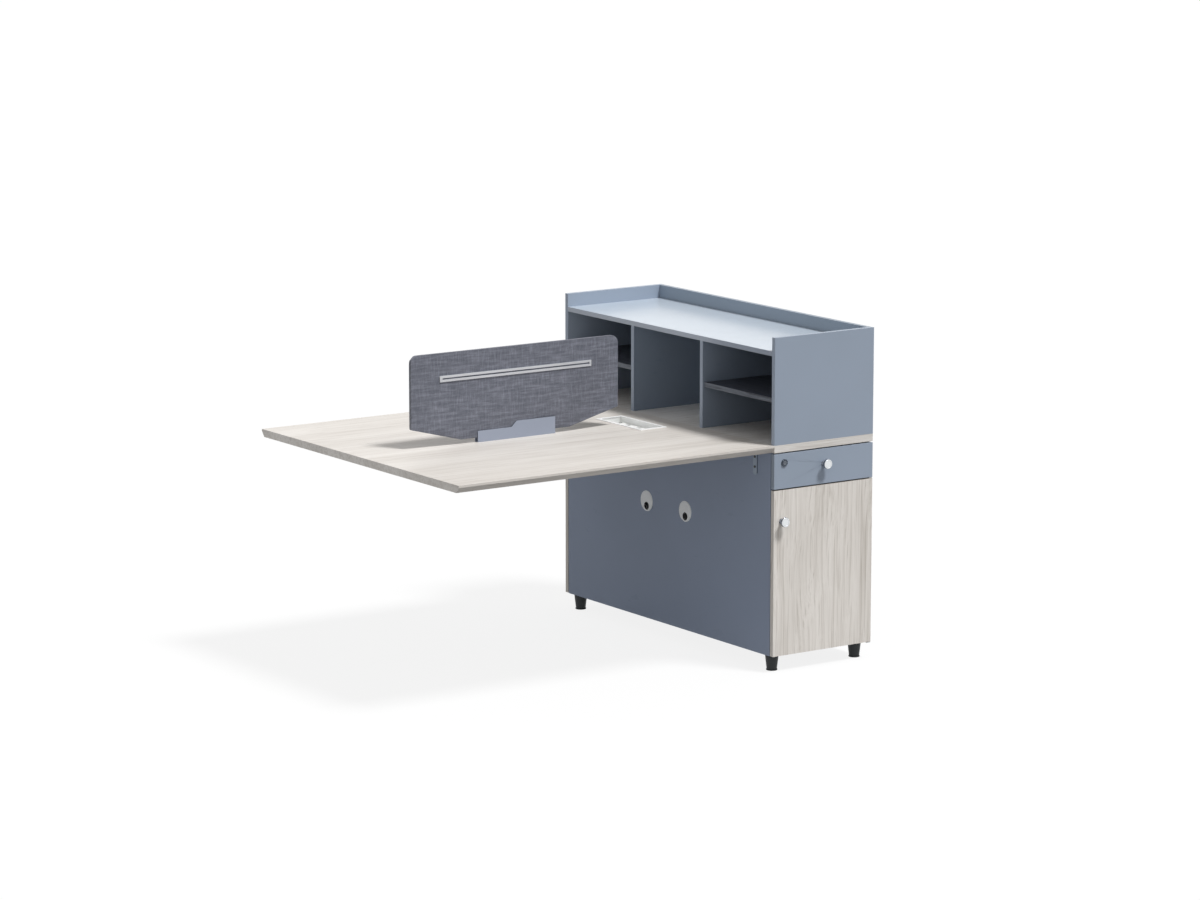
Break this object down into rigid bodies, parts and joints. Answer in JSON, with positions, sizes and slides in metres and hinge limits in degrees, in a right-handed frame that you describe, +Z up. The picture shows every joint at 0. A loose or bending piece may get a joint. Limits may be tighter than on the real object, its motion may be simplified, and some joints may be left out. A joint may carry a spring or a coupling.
{
  "type": "cubicle workstation",
  "caption": "Desk board for facing users on a side cabinet with end drawers, cupboards, open hutch, fabric screen and socket box",
  "frame": {"origin": "on the floor, under the middle of the whole part's box", "axes": "+X from the free end of the desk board to the back of the cabinet, +Y from the near user's side to the far user's side, +Z up"},
  "size_m": [1.6, 1.25, 1.1],
  "materials": {
    "desk_wood": "matt light grey-beige wood-grain laminate, fine lines along X",
    "board_wood": "matt light grey-beige wood-grain laminate",
    "door_wood": "matt light wood-grain laminate, upright grain",
    "blue_laminate": "matt blue-grey laminate on board",
    "shelf_laminate": "matt dark grey wood-grain laminate with a lighter edge",
    "inner_board": "matt blue-grey laminate, inside the cabinet",
    "drawer_board": "matt pale grey laminated board",
    "fabric": "woven grey-blue linen-look fabric over a board",
    "aluminium": "satin anodised extrusion",
    "clamp_steel": "matt blue-grey powder coat",
    "rubber": "matt black rubber",
    "bracket_steel": "matt grey powder coat",
    "plain_steel": "zinc-plated steel",
    "dark_steel": "dark plated steel",
    "chrome": "satin nickel",
    "lock_chrome": "dark polished chrome",
    "foot_plastic": "black moulded plastic",
    "grommet_plastic": "light grey moulded plastic",
    "socket_plastic": "white moulded plastic",
    "raw_steel": "mill-finish steel plate"
  },
  "bodies": {
    "cabinet": {"desk_top": "desk_wood", "cabinet_top_board": "board_wood", "cabinet_front_panel": "blue_laminate", "cabinet_back_panel": "blue_laminate", "cabinet_base_panel": "inner_board", "near_partition": "inner_board", "far_partition": "inner_board", "drawer_decks": "inner_board", "cupboard_shelves": "inner_board", "shelf_pins": "plain_steel", "fixing_screws": "dark_steel", "cabinet_feet": "foot_plastic", "counterweight_plate": "raw_steel", "desk_brackets": "bracket_steel", "leg_inserts": "plain_steel", "socket_frame": "socket_plastic", "socket_tray": "socket_plastic", "socket_outlets": "socket_plastic", "screen_panel": "fabric", "screen_rails": "aluminium", "screen_clamp": "clamp_steel", "clamp_pads": "rubber", "grommet_rings": "grommet_plastic", "hutch_back": "blue_laminate", "hutch_top": "blue_laminate", "runner_outers": "plain_steel", "hinge_leaves": "plain_steel", "lock_strikes": "plain_steel", "near_hutch_side": "blue_laminate", "near_hutch_partition": "blue_laminate", "near_hutch_shelf": "shelf_laminate", "far_hutch_side": "blue_laminate", "far_hutch_partition": "blue_laminate", "far_hutch_shelf": "shelf_laminate"},
    "near_drawer": {"near_drawer_front": "blue_laminate", "near_drawer_box": "drawer_board", "near_drawer_bottom": "drawer_board", "near_drawer_knob": "chrome", "near_drawer_knob_screw": "plain_steel", "near_lock_body": "lock_chrome", "near_runner_inners": "plain_steel"},
    "near_runner": {"near_runner_middles": "plain_steel"},
    "near_lock": {"near_lock_plug": "lock_chrome"},
    "near_cupboard_door": {"near_door": "door_wood", "near_door_knob": "chrome", "near_door_knob_screw": "plain_steel"},
    "near_cap": {"near_grommet_cap": "grommet_plastic"},
    "far_drawer": {"far_drawer_front": "blue_laminate", "far_drawer_box": "drawer_board", "far_drawer_bottom": "drawer_board", "far_drawer_knob": "chrome", "far_drawer_knob_screw": "plain_steel", "far_lock_body": "lock_chrome", "far_runner_inners": "plain_steel"},
    "far_runner": {"far_runner_middles": "plain_steel"},
    "far_lock": {"far_lock_plug": "lock_chrome"},
    "far_cupboard_door": {"far_door": "door_wood", "far_door_knob": "chrome", "far_door_knob_screw": "plain_steel"},
    "far_cap": {"far_grommet_cap": "grommet_plastic"}
  },
  "joints": [
    {"name": "near_drawer_slide", "type": "slide", "parent": "cabinet", "child": "near_drawer", "axis": [0, -1, 0], "range_m": [0, 0.34]},
    {"name": "near_runner_slide", "type": "slide", "parent": "cabinet", "child": "near_runner", "axis": [0, -1, 0], "range_m": [0, 0.17]},
    {"name": "near_lock_turn", "type": "hinge", "parent": "near_drawer", "child": "near_lock", "pos_m": [0.44, -0.6, 0.691], "axis": [0, -1, 0], "range_deg": [0, 90]},
    {"name": "near_door_hinge", "type": "hinge", "parent": "cabinet", "child": "near_cupboard_door", "pos_m": [0.795, -0.5945, 0.3285], "axis": [0, 0, 1], "range_deg": [0, 105]},
    {"name": "near_cap_turn", "type": "hinge", "parent": "cabinet", "child": "near_cap", "pos_m": [0.4, -0.111, 0.456], "axis": [1, 0, 0], "continuous": true},
    {"name": "far_drawer_slide", "type": "slide", "parent": "cabinet", "child": "far_drawer", "axis": [0, 1, 0], "range_m": [0, 0.34]},
    {"name": "far_runner_slide", "type": "slide", "parent": "cabinet", "child": "far_runner", "axis": [0, 1, 0], "range_m": [0, 0.17]},
    {"name": "far_lock_turn", "type": "hinge", "parent": "far_drawer", "child": "far_lock", "pos_m": [0.44, 0.6, 0.691], "axis": [0, -1, 0], "range_deg": [0, 90]},
    {"name": "far_door_hinge", "type": "hinge", "parent": "cabinet", "child": "far_cupboard_door", "pos_m": [0.795, 0.5945, 0.3285], "axis": [0, 0, -1], "range_deg": [0, 105]},
    {"name": "far_cap_turn", "type": "hinge", "parent": "cabinet", "child": "far_cap", "pos_m": [0.4, 0.111, 0.456], "axis": [1, 0, 0], "continuous": true}
  ],
  "couplings": [
    {"joint": "near_runner_slide", "follows": "near_drawer_slide", "ratio": 0.5},
    {"joint": "far_runner_slide", "follows": "far_drawer_slide", "ratio": 0.5}
  ]
}
